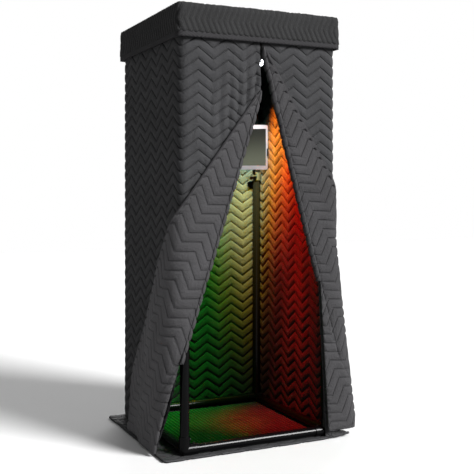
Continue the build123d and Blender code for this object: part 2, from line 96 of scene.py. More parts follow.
REAR_LOW, REAR_HIGH = box_mm("rear_wall")
SKIRT_LOW, SKIRT_HIGH = box_mm("roof_skirt")
ROOF_LOW, ROOF_HIGH = box_mm("roof_panel")
MAT_LOW, MAT_HIGH = box_mm("ground_mat")
CARPET_LOW, CARPET_HIGH = box_mm("floor_carpet")
PANEL_LOW, PANEL_HIGH = box_mm("front_right_panel")
FLAP_LOW, FLAP_HIGH = box_mm("right_flap")
POST_LOW, POST_HIGH = box_mm("front_left_lower_post")

CLOTH = REAR_HIGH[1] - REAR_LOW[1]              # mean thickness of the quilted cloth
WALL = (REAR_HIGH[1] + REAR_LOW[1]) / 2         # walls' middle plane from the booth's middle
POST = -(POST_LOW[0] + POST_HIGH[0]) / 2        # posts' centres from the booth's middle
FLAP_Y = -(FLAP_LOW[1] + FLAP_HIGH[1]) / 2      # folded flaps' middle plane
WALL_TOP, WALL_FOOT = REAR_HIGH[2], REAR_LOW[2]
DOOR_GAP = PANEL_LOW[0]                         # from the door's middle to each panel's edge
FLOOR_LINE = WALL_FOOT + 5.0                    # foot of a flap that hangs closed
MAT_TOP = MAT_HIGH[2]
FOLD_TOP = {-1: 1631.0, 1: 1830.0}              # where each side's fold leaves the door's middle
FOLD_ANGLE = {-1: math.radians(18.1), 1: math.radians(15.5)}
JAMB_TOP, JAMB_FOOT = 750.0, 345.0              # right panel's edge below its fold
CORNER_R = WALL - POST                          # the cloth's bend round a post
RUN = POST - DOOR_GAP                           # straight cloth beside the door
BEND = CORNER_R * math.pi / 2
SKIRT_FINE = (1.2, 1.85)                        # the roof skirt's quilting is that much finer
HALF_WRAP = RUN + BEND + 2 * POST + BEND + POST  # from the rear wall's middle to the door


# ---------------------------------------------------------------- properties
class BoothSizes(bpy.types.PropertyGroup):
    """Sizes of the quilting and its folds"""

    stitch_spacing: bpy.props.FloatProperty(
        name="Stitch spacing", description="Between one zigzag line and the next",
        default=0.050, min=0.02, max=0.1, unit="LENGTH", subtype="DISTANCE")
    zigzag_length: bpy.props.FloatProperty(
        name="Zigzag length", description="From one peak of a stitch line to the next",
        default=0.144, min=0.05, max=0.3, unit="LENGTH", subtype="DISTANCE")
    zigzag_height: bpy.props.FloatProperty(
        name="Zigzag height", description="From a stitch line's valley to its peak",
        default=0.050, min=0.01, max=0.1, unit="LENGTH", subtype="DISTANCE")
    loft: bpy.props.FloatProperty(
        name="Loft", description="How far the wadding swells between two stitch lines, on each face",
        default=0.0062, min=0.0, max=0.012, unit="LENGTH", subtype="DISTANCE")
    roll: bpy.props.FloatProperty(
        name="Fold roll", description="How far a folded flap's edge rolls into the doorway",
        default=0.012, min=0.0, max=0.03, unit="LENGTH", subtype="DISTANCE")


class BoothColours(bpy.types.PropertyGroup):
    """Colours of the cloth and the hard parts, as sRGB hex"""

    outer: bpy.props.StringProperty(
        name="Outer cloth", description="Quilted cloth outside", default="#363638")
    skirt: bpy.props.StringProperty(
        name="Roof cloth", description="Quilted cloth of the roof", default="#252526")
    lining: bpy.props.StringProperty(
        name="Lining", description="Quilted cloth of the folded flaps", default="#3b3a3c")
    # Painted shade: the inside colour is the lining's cloth made darker, for the shade inside the booth.
    inside: bpy.props.StringProperty(name="Inside", description="Walls' cloth inside", default="#19191a")
    # Painted shade: these three colours darken the stitch furrows, the shade in the quilting's creases,
    # outside, inside and on the flaps.
    furrow_shade: bpy.props.StringProperty(name="Thread", description="Stitching", default="#0f0f10")
    inside_furrow_shade: bpy.props.StringProperty(name="Inside thread", description="Stitching inside",
                                            default="#060607")
    lining_furrow_shade: bpy.props.StringProperty(name="Lining thread", description="Stitching of the flaps",
                                            default="#1b1b1d")
    binding: bpy.props.StringProperty(name="Binding", description="Edge binding", default="#2b2a2c")
    carpet: bpy.props.StringProperty(name="Carpet", description="Ribbed floor", default="#242425")
    tube: bpy.props.StringProperty(name="Tube", description="Frame tube", default="#070708")
    tablet: bpy.props.StringProperty(name="Tablet", description="Tablet's case", default="#e4e4e6")
    # Painted reflection: the screen colour is the glow painted on the tablet's screen.
    screen: bpy.props.StringProperty(name="Screen", description="Tablet's screen", default="#6f7362")


def sizes():
    return bpy.context.scene.booth_sizes


def colours():
    return bpy.context.scene.booth_colours


# ---------------------------------------------------------------- nodes and colours
def linear(colour):
    """An sRGB hex colour as linear RGBA."""
    parts = [int(colour[i:i + 2], 16) / 255 for i in (1, 3, 5)]
    return tuple(c / 12.92 if c <= 0.04045 else ((c + 0.055) / 1.055) ** 2.4 for c in parts) + (1.0,)


def scaled(colour, factor):
    """A colour made lighter or darker."""
    return tuple(min(1.0, c * factor) for c in colour[:3]) + (1.0,)


def add_node(tree, kind, settings=None, links=None):
    """Adds a node, sets its fields or sockets, and links the given sockets to outputs."""
    node = tree.nodes.new(kind)
    for key, value in (settings or {}).items():
        if isinstance(key, str) and hasattr(node, key):
            setattr(node, key, value)
        else:
            node.inputs[key].default_value = value
    for key, output in (links or {}).items():
        tree.links.new(output, node.inputs[key])
    return node


def new_material(name):
    material = bpy.data.materials.new(name)
    material.use_nodes = True
    tree = material.node_tree
    tree.nodes.clear()
    return material, tree


def finish_material(tree, shader):
    add_node(tree, "ShaderNodeOutputMaterial", links={"Surface": shader.outputs[0]})


# ---------------------------------------------------------------- materials
def quilted_polyester(name, colour, furrow_shade, shine=0.35):
    """Brushed polyester cloth, quilted by machine: a dull nap that catches light at a grazing
    angle, a fine plain weave, and sunk rows of stitches in furrows painted dark as painted shade.
    UVs are metres along and up the cloth."""
    s = sizes()
    material, tree = new_material(name)
    uv = add_node(tree, "ShaderNodeUVMap", {"uv_map": "cloth"})
    axes = add_node(tree, "ShaderNodeSeparateXYZ", links={0: uv.outputs[0]})
    along, up = axes.outputs[0], axes.outputs[1]
    wave = add_node(tree, "ShaderNodeMath", {"operation": "PINGPONG", 1: s.zigzag_length / 2}, {0: along})
    rise = add_node(tree, "ShaderNodeMath", {
        "operation": "MULTIPLY", 1: 2 * s.zigzag_height / s.zigzag_length}, {0: wave.outputs[0]})
    row = add_node(tree, "ShaderNodeMath", {"operation": "SUBTRACT"}, {0: up, 1: rise.outputs[0]})
    off = add_node(tree, "ShaderNodeMath", {
        "operation": "PINGPONG", 1: s.stitch_spacing / 2}, {0: row.outputs[0]})
    # Stitches drawn 1.6 mm wide in a 5 mm furrow; the real stitching is 0.4 mm wide, too fine to show. The
    # furrow is painted near black, as painted shade in the crease.
    furrow = add_node(tree, "ShaderNodeMapRange", {
        "From Min": 0.0, "From Max": 0.0050, "To Min": 1.0, "To Max": 0.0,
        "interpolation_type": "SMOOTHSTEP"}, {"Value": off.outputs[0]})
    line = add_node(tree, "ShaderNodeMapRange", {
        "From Min": 0.0006, "From Max": 0.0012, "To Min": 1.0, "To Max": 0.0}, {"Value": off.outputs[0]})
    # Stitches 6 mm long, drawn at twice their real 3 mm.
    stitch = add_node(tree, "ShaderNodeMath", {"operation": "PINGPONG", 1: 0.003}, {0: along})
    dash = add_node(tree, "ShaderNodeMapRange", {
        "From Min": 0.0003, "From Max": 0.0009, "To Min": 0.0, "To Max": 1.0}, {"Value": stitch.outputs[0]})
    sewn = add_node(tree, "ShaderNodeMath", {"operation": "MULTIPLY"},
                    {0: line.outputs[0], 1: dash.outputs[0]})
    # Yarns are 0.5 mm apart, drawn 2 mm apart so that they show.
    warp = add_node(tree, "ShaderNodeTexWave", {
        "wave_type": "BANDS", "bands_direction": "X", "Scale": 157.0, "Distortion": 1.5,
        "Detail": 1.0, "Detail Scale": 2.0}, {"Vector": uv.outputs[0]})
    weft = add_node(tree, "ShaderNodeTexWave", {
        "wave_type": "BANDS", "bands_direction": "Y", "Scale": 157.0, "Distortion": 1.5,
        "Detail": 1.0, "Detail Scale": 2.0}, {"Vector": uv.outputs[0]})
    weave = add_node(tree, "ShaderNodeMath", {"operation": "MULTIPLY"},
                     {0: warp.outputs["Fac"], 1: weft.outputs["Fac"]})
    nap = add_node(tree, "ShaderNodeTexNoise", {"Scale": 260.0, "Detail": 3.0}, {"Vector": uv.outputs[0]})
    cloud = add_node(tree, "ShaderNodeTexNoise", {"Scale": 5.0, "Detail": 4.0}, {"Vector": uv.outputs[0]})
    # Short puckers across each row of stitches, about 12 mm apart.
    pucker = add_node(tree, "ShaderNodeTexNoise", {
        "Scale": 85.0, "Detail": 2.0, "Distortion": 0.6}, {"Vector": uv.outputs[0]})
    base = linear(colour)
    tone = add_node(tree, "ShaderNodeMix", {
        "data_type": "RGBA", 6: scaled(base, 0.62), 7: scaled(base, 1.5)}, {0: cloud.outputs["Fac"]})
    fleck = add_node(tree, "ShaderNodeMapRange", {
        "From Min": 0.3, "From Max": 0.7, "To Min": 0.72, "To Max": 1.28}, {"Value": nap.outputs["Fac"]})
    speckled = add_node(tree, "ShaderNodeVectorMath", {"operation": "SCALE"},
                        {0: tone.outputs[2], "Scale": fleck.outputs[0]})
    # Painted shade: the furrow along each stitch line is painted in the furrow shade colour.
    shade = add_node(tree, "ShaderNodeMix", {"data_type": "RGBA", 7: linear(furrow_shade)},
                     {0: furrow.outputs[0], 6: speckled.outputs[0]})
    threaded = add_node(tree, "ShaderNodeMix", {
        "data_type": "RGBA", 7: scaled(base, 1.9)},
        {0: sewn.outputs[0], 6: shade.outputs[2]})
    depth = add_node(tree, "ShaderNodeMath", {"operation": "MULTIPLY_ADD", 1: 0.35},
                     {0: weave.outputs[0], 2: nap.outputs["Fac"]})
    puckered = add_node(tree, "ShaderNodeMath", {"operation": "MULTIPLY_ADD", 1: 2.2},
                        {0: pucker.outputs["Fac"], 2: depth.outputs[0]})
    height = add_node(tree, "ShaderNodeMath", {"operation": "MULTIPLY_ADD", 1: -2.5},
                      {0: furrow.outputs[0], 2: puckered.outputs[0]})
    raised = add_node(tree, "ShaderNodeMath", {"operation": "MULTIPLY_ADD", 1: 0.8},
                      {0: sewn.outputs[0], 2: height.outputs[0]})
    bump = add_node(tree, "ShaderNodeBump", {"Strength": 0.85, "Distance": 0.0026},
                    {"Height": raised.outputs[0]})
    rough = add_node(tree, "ShaderNodeMapRange", {"To Min": 0.55, "To Max": 0.80},
                     {"Value": nap.outputs["Fac"]})
    shader = add_node(tree, "ShaderNodeBsdfPrincipled", {
        "Sheen Weight": 0.04, "Sheen Roughness": 0.5, "Specular IOR Level": shine},
        {"Base Color": threaded.outputs[2], "Roughness": rough.outputs[0], "Normal": bump.outputs[0]})
    finish_material(tree, shader)
    return material


def woven_tape(name, colour, sewn=True):
    """Woven polyester tape: flat, with a fine diagonal rib. Sewn tape takes its grain from the
    cloth's UVs, and loose tape from where it is."""
    material, tree = new_material(name)
    if sewn:
        lie = add_node(tree, "ShaderNodeUVMap", {"uv_map": "cloth"}).outputs[0]
    else:
        lie = add_node(tree, "ShaderNodeTexCoord").outputs["Object"]
    # Ribs are 0.8 mm apart, drawn 3 mm apart so that they show.
    ribs = add_node(tree, "ShaderNodeTexWave", {
        "wave_type": "BANDS", "bands_direction": "DIAGONAL", "Scale": 105.0, "Distortion": 0.8},
        {"Vector": lie})
    fuzz = add_node(tree, "ShaderNodeTexNoise", {"Scale": 300.0, "Detail": 2.0}, {"Vector": lie})
    base = linear(colour)
    tone = add_node(tree, "ShaderNodeMix", {
        "data_type": "RGBA", 6: scaled(base, 0.75),
        7: scaled(base, 1.25)}, {0: ribs.outputs["Fac"]})
    mixed = add_node(tree, "ShaderNodeMath", {"operation": "ADD"},
                     {0: ribs.outputs["Fac"], 1: fuzz.outputs["Fac"]})
    bump = add_node(tree, "ShaderNodeBump", {"Strength": 0.4, "Distance": 0.0008},
                    {"Height": mixed.outputs[0]})
    shader = add_node(tree, "ShaderNodeBsdfPrincipled", {
        "Roughness": 0.8, "Sheen Weight": 0.05, "Specular IOR Level": 0.3},
        {"Base Color": tone.outputs[2], "Normal": bump.outputs[0]})
    finish_material(tree, shader)
    return material


def ribbed_felt(name, colour):
    """Needle-punched ribbed carpet: matt, with loose fibre that speckles it."""
    material, tree = new_material(name)
    place = add_node(tree, "ShaderNodeTexCoord")
    fibre = add_node(tree, "ShaderNodeTexNoise", {"Scale": 420.0, "Detail": 4.0},
                     {"Vector": place.outputs["Object"]})
    patch = add_node(tree, "ShaderNodeTexNoise", {"Scale": 9.0, "Detail": 3.0},
                     {"Vector": place.outputs["Object"]})
    # Tufts stand 20 mm apart along each rib.
    tufts = add_node(tree, "ShaderNodeTexWave", {
        "wave_type": "BANDS", "bands_direction": "X", "Scale": 15.7, "Distortion": 0.6, "Detail": 1.0},
        {"Vector": place.outputs["Object"]})
    pile = add_node(tree, "ShaderNodeMath", {"operation": "MULTIPLY_ADD", 1: 3.0},
                    {0: tufts.outputs["Fac"], 2: fibre.outputs["Fac"]})
    base = linear(colour)
    tone = add_node(tree, "ShaderNodeMix", {
        "data_type": "RGBA", 6: scaled(base, 0.55),
        7: scaled(base, 1.7)}, {0: fibre.outputs["Fac"]})
    worn = add_node(tree, "ShaderNodeVectorMath", {"operation": "SCALE"},
                    {0: tone.outputs[2], "Scale": patch.outputs["Fac"]})
    # Painted highlight and shade: the tufts' tops are painted up to three times lighter, and the hollows
    # between them darker.
    shine = add_node(tree, "ShaderNodeMapRange", {"To Min": 0.7, "To Max": 3.0},
                     {"Value": tufts.outputs["Fac"]})
    tuft_painted_light = add_node(tree, "ShaderNodeVectorMath", {"operation": "SCALE"},
                      {0: worn.outputs[0], "Scale": shine.outputs[0]})
    bump = add_node(tree, "ShaderNodeBump", {"Strength": 0.9, "Distance": 0.004},
                    {"Height": pile.outputs[0]})
    shader = add_node(tree, "ShaderNodeBsdfPrincipled", {
        "Roughness": 0.85, "Specular IOR Level": 0.35},
        {"Base Color": tuft_painted_light.outputs[0], "Normal": bump.outputs[0]})
    finish_material(tree, shader)
    return material


def moulded_plastic(name, colour, roughness, grain, coat=0.0, shine=0.5):
    """Moulded or drawn plastic: even colour, faint flow unevenness and handling marks."""
    material, tree = new_material(name)
    place = add_node(tree, "ShaderNodeTexCoord")
    flow = add_node(tree, "ShaderNodeTexNoise", {"Scale": 14.0, "Detail": 5.0},
                    {"Vector": place.outputs["Object"]})
    skin = add_node(tree, "ShaderNodeTexNoise", {"Scale": grain, "Detail": 2.0},
                    {"Vector": place.outputs["Object"]})
    base = linear(colour)
    tone = add_node(tree, "ShaderNodeMix", {
        "data_type": "RGBA", 6: scaled(base, 0.88),
        7: scaled(base, 1.12)}, {0: flow.outputs["Fac"]})
    rough = add_node(tree, "ShaderNodeMapRange", {"To Min": roughness * 0.75, "To Max": roughness * 1.3},
                     {"Value": flow.outputs["Fac"]})
    bump = add_node(tree, "ShaderNodeBump", {"Strength": 0.12, "Distance": 0.0004},
                    {"Height": skin.outputs["Fac"]})
    shader = add_node(tree, "ShaderNodeBsdfPrincipled", {
        "IOR": 1.5, "Coat Weight": coat, "Coat Roughness": 0.08, "Specular IOR Level": shine},
        {"Base Color": tone.outputs[2], "Roughness": rough.outputs[0], "Normal": bump.outputs[0]})
    finish_material(tree, shader)
    return material


def coated_steel(name, colour, roughness):
    """Black-plated or powder-coated steel: dark, satin, a little orange-peel."""
    material, tree = new_material(name)
    place = add_node(tree, "ShaderNodeTexCoord")
    peel = add_node(tree, "ShaderNodeTexNoise", {"Scale": 700.0, "Detail": 1.0},
                    {"Vector": place.outputs["Object"]})
    wear = add_node(tree, "ShaderNodeTexNoise", {"Scale": 60.0, "Detail": 4.0},
                    {"Vector": place.outputs["Object"]})
    base = linear(colour)
    tone = add_node(tree, "ShaderNodeMix", {
        "data_type": "RGBA", 6: scaled(base, 0.8),
        7: scaled(base, 1.5)}, {0: wear.outputs["Fac"]})
    bump = add_node(tree, "ShaderNodeBump", {"Strength": 0.15, "Distance": 0.0003},
                    {"Height": peel.outputs["Fac"]})
    shader = add_node(tree, "ShaderNodeBsdfPrincipled", {"Metallic": 0.6, "Roughness": roughness},
                      {"Base Color": tone.outputs[2], "Normal": bump.outputs[0]})
    finish_material(tree, shader)
    return material


def display_painted_reflection(name, colour):
    """Laminated display under polished glass, drawn as a faint glow that is dark at the top and
    pales toward its foot: a painted reflection."""
    low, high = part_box("tablet_screen")
    material, tree = new_material(name)
    place = add_node(tree, "ShaderNodeTexCoord")
    axes = add_node(tree, "ShaderNodeSeparateXYZ", links={0: place.outputs["Object"]})
    # Painted reflection: the glow pales from the screen's top to its foot.
    fall = add_node(tree, "ShaderNodeMapRange", {
        "From Min": high[2], "From Max": low[2], "interpolation_type": "SMOOTHSTEP"},
        {"Value": axes.outputs[2]})
    base = linear(colour)
    tone = add_node(tree, "ShaderNodeMix", {
        "data_type": "RGBA", 6: scaled(base, 0.16), 7: base},
        {0: fall.outputs[0]})
    shader = add_node(tree, "ShaderNodeBsdfPrincipled", {
        "Base Color": (0.01, 0.01, 0.01, 1.0), "Roughness": 0.12, "IOR": 1.5, "Emission Strength": 0.8},
        {"Emission Color": tone.outputs[2]})
    finish_material(tree, shader)
    return material


def lit_lens(name):
    """Clear acrylic lens over a lit LED: near white in the middle of the beam."""
    material, tree = new_material(name)
    place = add_node(tree, "ShaderNodeTexCoord")
    facets = add_node(tree, "ShaderNodeTexVoronoi", {"Scale": 260.0}, {"Vector": place.outputs["Object"]})
    power = add_node(tree, "ShaderNodeMapRange", {"To Min": 22.0, "To Max": 40.0},
                     {"Value": facets.outputs["Distance"]})
    shader = add_node(tree, "ShaderNodeBsdfPrincipled", {
        "Base Color": (0.95, 0.97, 1.0, 1.0), "Roughness": 0.1, "IOR": 1.49,
        "Emission Color": (0.93, 0.96, 1.0, 1.0)}, {"Emission Strength": power.outputs[0]})
    finish_material(tree, shader)
    return material


MATERIALS = {}


def make_materials():
    c = colours()
    MATERIALS.update({
        "quilt_outer": quilted_polyester("quilted_polyester_outer", c.outer, c.furrow_shade),
        "quilt_lining": quilted_polyester("quilted_polyester_lining", c.lining, c.lining_furrow_shade),
        # The walls' inner face: the lining's cloth painted darker, as painted shade inside the booth.
        "quilt_inside": quilted_polyester("quilted_polyester_inside", c.inside, c.inside_furrow_shade, shine=0.15),
        "quilt_skirt": quilted_polyester("quilted_polyester_skirt", c.skirt, c.furrow_shade),
        "ground_mat": quilted_polyester("quilted_polyester_mat", c.outer, c.furrow_shade),
        "binding": woven_tape("woven_edge_tape", c.binding),
        "webbing": woven_tape("woven_hook_and_loop", c.skirt, sewn=False),
        "floor_carpet": ribbed_felt("needle_felt_ribbed", c.carpet),
        "frame_tube": moulded_plastic("extruded_pvc_tube_gloss", c.tube, 0.2, 90.0, shine=0.2),
        "frame_fitting": moulded_plastic("moulded_pvc_fitting_gloss", c.tube, 0.24, 160.0, shine=0.2),
        "clamp_plastic": moulded_plastic("moulded_abs_matt", "#141415", 0.5, 900.0),
        "tablet_white": moulded_plastic("moulded_polycarbonate_white", c.tablet, 0.25, 60.0, coat=0.3),
        "dark_screws": coated_steel("black_zinc_screw", "#2a2a2b", 0.35),
        "lamp_paint": coated_steel("powder_coated_steel", "#161617", 0.45),
        "screen_glass": display_painted_reflection("laminated_display", c.screen),
        "lamp_lens": lit_lens("clear_acrylic_lens"),
    })


# ---------------------------------------------------------------- quilting
CUT_TOLERANCE = 0.02            # mm, within which a cut goes through a point that is there
WELD = 0.5                      # mm, under which two points are made one
SLIVER = 0.01                   # mm2, under which a face is dropped


def add_object(name, data):
    piece = bpy.data.objects.new(name, data)
    bpy.context.collection.objects.link(piece)
    return piece


def zigzag(q):
    """Rise of a stitch line above its valley, at a distance along the cloth (mm)."""
    length, height = sizes().zigzag_length / MM, sizes().zigzag_height / MM
    half = length / 2
    return height * (half - np.abs(np.mod(q, length) - half)) / half


def swell(row):
    """How full the wadding is between two stitch lines, from 0 on a line to 1."""
    spacing = sizes().stitch_spacing / MM
    off = np.abs(np.mod(row / spacing, 1.0) - 0.5) * 2
    return np.sqrt(np.clip(1 - off ** 2.4, 0, 1))


def inside(points, outline):
    """Which points lie in a polygon."""
    x, y = points[:, 0], points[:, 1]
    hit = np.zeros(len(points), bool)
    for i in range(len(outline)):
        (x1, y1), (x2, y2) = outline[i - 1], outline[i]
        if y1 == y2:
            continue
        crosses = (y1 > y) != (y2 > y)
        hit ^= crosses & (x < (x2 - x1) * (y - y1) / (y2 - y1) + x1)
    return hit


def cut_cloth(outline, turned, fine, across, rows):
    """A flat mesh over an outline in millimetres, its rows following the stitch lines. Returns its
    points, as the pattern lies, and its faces. turned runs the stitch lines upward instead of
    along, and fine is how many times finer the pattern is along the lines and across them."""
    outline = [(p[1], p[0]) if turned else (p[0], p[1]) for p in outline]
    outline = [(p[0] * fine[0], p[1] * fine[1]) for p in outline]
    step_q = sizes().zigzag_length / MM / across
    step_v = sizes().stitch_spacing / MM / rows
    low, high = np.min(outline, 0), np.max(outline, 0)
    rise = sizes().zigzag_height / MM
    q = np.arange(math.floor(low[0] / step_q), math.ceil(high[0] / step_q) + 1) * step_q
    v = np.arange(math.floor((low[1] - rise) / step_v), math.ceil(high[1] / step_v) + 1) * step_v
    grid_q, grid_v = np.meshgrid(q, v)
    points = np.stack([grid_q.ravel(), (grid_v + zigzag(grid_q)).ravel(), np.zeros(grid_q.size)], 1)
    index = np.arange(grid_q.size).reshape(grid_q.shape)
    faces = np.stack([index[:-1, :-1], index[:-1, 1:], index[1:, 1:], index[1:, :-1]], -1).reshape(-1, 4)
    middle = points[faces].mean(1)
    reach = 3 * max(step_q, rise)
    near = (middle[:, 0] > low[0] - reach) & (middle[:, 0] < high[0] + reach)
    near &= (middle[:, 1] > low[1] - reach) & (middle[:, 1] < high[1] + reach)
    mesh = bpy.data.meshes.new("cut")
    mesh.from_pydata(points.tolist(), [], faces[near].tolist())
    bm = bmesh.new()
    bm.from_mesh(mesh)
    bpy.data.meshes.remove(mesh)
    for i in range(len(outline)):
        (x1, y1), (x2, y2) = outline[i - 1], outline[i]
        bmesh.ops.bisect_plane(
            bm, geom=bm.verts[:] + bm.edges[:] + bm.faces[:], dist=CUT_TOLERANCE,
            plane_co=(x1, y1, 0), plane_no=(y2 - y1, x1 - x2, 0))
    bm.faces.ensure_lookup_table()
    centres = np.array([f.calc_center_median()[:2] for f in bm.faces])
    kept = inside(centres, outline)
    bmesh.ops.delete(bm, geom=[f for f, k in zip(bm.faces, kept) if not k], context="FACES")
    bmesh.ops.delete(bm, geom=[v for v in bm.verts if not v.link_faces], context="VERTS")
    bmesh.ops.remove_doubles(bm, verts=bm.verts, dist=WELD)
    bm.verts.index_update()
    flat = np.array([v.co[:2] for v in bm.verts])
    polygons = [[v.index for v in f.verts] for f in bm.faces if f.calc_area() > SLIVER]
    bm.free()
    return flat, polygons


def normals_of(place, q, z, step=2.0):
    """Unit normals of a placed sheet, by differences."""
    along = place(q + step, z) - place(q - step, z)
    up = place(q, z + step) - place(q, z - step)
    normal = np.cross(along, up)
    return normal / np.maximum(np.linalg.norm(normal, axis=1, keepdims=True), 1e-9)


def cloth_piece(name, outline, place, material, quilted=True, thin=3.0, turned=False, bulk=None,
                taper=None, fine=(1.0, 1.0), across=8, rows=6, inner=None, loft=None):
    """A closed sheet of cloth. place turns millimetres along and up the cloth into a point, in
    millimetres; thin is the thickness where it's stitched or bound, bulk adds to it, and taper is
    the share of the wadding's swell that is left near an edge or a fold. inner is the material of
    the face that looks into the cabin, where it differs, and loft the swell, for a flatter cloth."""
    loft = sizes().loft if loft is None else loft
    flat, polygons = cut_cloth(outline, turned, fine, across, rows)
    row = flat[:, 1] - zigzag(flat[:, 0])
    lie = flat / fine
    q, z = (lie[:, 1], lie[:, 0]) if turned else (lie[:, 0], lie[:, 1])
    middle = place(q, z)
    normal = normals_of(place, q, z)
    half = thin / 2 + (swell(row) * loft / MM if quilted else np.zeros(len(q)))
    if quilted:
        # Wadding is uneven, and the cloth is drawn in at random along a row.
        uneven = np.array([noise.noise((a / 45, b / 45, len(name))) for a, b in zip(q, z)])
        half = thin / 2 + (half - thin / 2) * (1 + 0.18 * uneven) * (1 if taper is None else taper(q, z))
    if bulk is not None:
        half = half + bulk(q, z)
    count = len(q)
    points = np.concatenate([middle + normal * half[:, None], middle - normal * half[:, None]]) * MM
    edges = {}                      # a dict, because it keeps its order
    for polygon in polygons:
        for edge in zip(polygon, polygon[1:] + polygon[:1]):
            edges[edge] = True
    rim = [(a, b) for a, b in edges if (b, a) not in edges]
    faces = list(polygons) + [[i + count for i in reversed(p)] for p in polygons]
    faces += [[b, a, a + count, b + count] for a, b in rim]
    mesh = bpy.data.meshes.new(name)
    mesh.from_pydata(points.tolist(), [], faces)
    uv = mesh.uv_layers.new(name="cloth")
    corner = np.empty(len(mesh.loops), np.int32)
    mesh.loops.foreach_get("vertex_index", corner)
    metres = flat[corner % count] * MM
    uv.data.foreach_set("uv", metres.ravel().astype(np.float32))
    mesh.polygons.foreach_set("use_smooth", np.ones(len(mesh.polygons), bool))
    mesh.materials.append(MATERIALS[material])
    if inner is not None:
        mesh.materials.append(MATERIALS[inner])
        sides = np.zeros(len(mesh.polygons), np.int32)
        sides[:len(polygons)] = 1
        mesh.polygons.foreach_set("material_index", sides)
    mesh.update()
    piece = add_object(name, mesh)
    return piece


def ripple(q, z, size, seed):
    """Gentle unevenness of hanging cloth, from -1 to 1."""
    return np.array([noise.noise((a / size, b / size, seed)) for a, b in zip(q, z)])


def smooth(t):
    t = np.clip(t, 0, 1)
    return t * t * (3 - 2 * t)


def from_fold(side, s, z):
    """How far a point of the closed door lies from a side's fold line."""
    angle = FOLD_ANGLE[side]
    return (s - DOOR_GAP) * math.cos(angle) + (z - FOLD_TOP[side]) * math.sin(angle)


# ---------------------------------------------------------------- where the cloth hangs
def fold_at(side, z):
    """How far out from the door's middle a side's fold lies at a height."""
    return DOOR_GAP + (FOLD_TOP[side] - z) * math.tan(FOLD_ANGLE[side])


def wrap_path(q):
    """The walls' middle line, from the left of the door round the rear to the right of it.
    q is 0 at the rear wall's middle. Returns x and y."""
    side = np.sign(q) + (q == 0)
    d = np.abs(q)
    marks = np.cumsum([POST, BEND, 2 * POST, BEND, RUN])
    turn1 = np.clip((d - marks[0]) / CORNER_R, 0, math.pi / 2)
    turn2 = np.clip((d - marks[2]) / CORNER_R, 0, math.pi / 2)
    x = np.minimum(d, POST) + CORNER_R * np.sin(turn1)
    x = x - CORNER_R * (1 - np.cos(turn2)) - np.clip(d - marks[3], 0, None)
    y = POST + CORNER_R * np.cos(turn1) - np.clip(d - marks[1], 0, 2 * POST) - CORNER_R * np.sin(turn2)
    return side * x, y


SLACK = (4.0, 2.5)              # mm, the walls' long and short waves between the rails
CRUMPLE_Z, CRUMPLE_TALL, CRUMPLE_WIDE = 1480, 230, 110      # where the left panel is drawn in
CREASE, CREASE_UNEVEN, FRONT_WAVE = 18.0, 10.0, 3.0         # mm, how deep
DRAG = 62.0                     # mm, how far the left foot's corner is pulled out
DRAG_WIDE, DRAG_TALL = 150, 190


def wall_place(q, z):
    """The walls: slightly slack between the rails, and pulled out at the left foot where the
    flap drags its corner."""
    x, y = wrap_path(q)
    d = np.abs(q)
    free = 1 - smooth((z - 1700) / 260)
    marks = np.cumsum([POST, BEND, 2 * POST, BEND])
    bay = np.where(d < marks[0], 1 - (d / POST) ** 2,
                   np.where((d > marks[1]) & (d < marks[2]), 1 - ((d - marks[1]) / POST - 1) ** 2, 0))
    slack = (SLACK[0] * ripple(q, z, 310, 1.0) + SLACK[1] * ripple(q, z, 120, 2.0)) * free * np.clip(bay, 0, 1)
    out_x = np.where((d > marks[1]) & (d < marks[2]), np.sign(q), 0.0)
    out_y = np.where(d < marks[0], 1.0, 0.0)
    # Crumples beside the door, where the flaps' weight hangs from the panels' edges.
    front = d > marks[3]
    from_door = HALF_WRAP - d
    left = (q < 0) & front
    fall = np.exp(-((z - CRUMPLE_Z) / CRUMPLE_TALL) ** 2)
    fall = fall * np.exp(-np.clip(from_door, 0, None) / CRUMPLE_WIDE)
    hem = FOLD_TOP[-1] - from_door / math.tan(2 * FOLD_ANGLE[-1])
    shown = 0.35 + 0.65 * smooth((z - hem) / 50)
    crease = np.sin(from_door / 7.0 + 1.2 + 2.2 * ripple(q, z, 120, 3.0)) * CREASE * shown
    crease = crease + CREASE_UNEVEN * ripple(q * 2.4, z, 60, 15.0) * shown
    gather = np.where(left, fall * crease, 0) + np.where(front, FRONT_WAVE * ripple(q, z, 150, 4.0), 0)
    drag_x, drag_y = q + HALF_WRAP - fold_at(-1, WALL_FOOT), z - WALL_FOOT
    drag = DRAG * np.exp(-np.hypot(drag_x / DRAG_WIDE, drag_y / DRAG_TALL) ** 1.4) * (q < 0)
    x = x + out_x * slack - drag
    y = y + out_y * slack - gather - drag * 0.25
    return np.stack([x, y, z], 1)


# How a folded flap leaves the booth's corner near the floor: how much further out it bends and
# how much wider its bend is, the height where that starts, and how steeply it grows.
FLARE = {-1: (-6.0, 78.0, 1250.0, 0.9), 1: (96.0, 18.0, 950.0, 1.1)}
TAIL_TURN = {-1: (3.0, -6.0), 1: (4.0, 13.0)}                 # degrees out from the wall: high, low
GATHER = {-1: 0.80, 1: 0.86}                                  # how far the tail is drawn up in waves


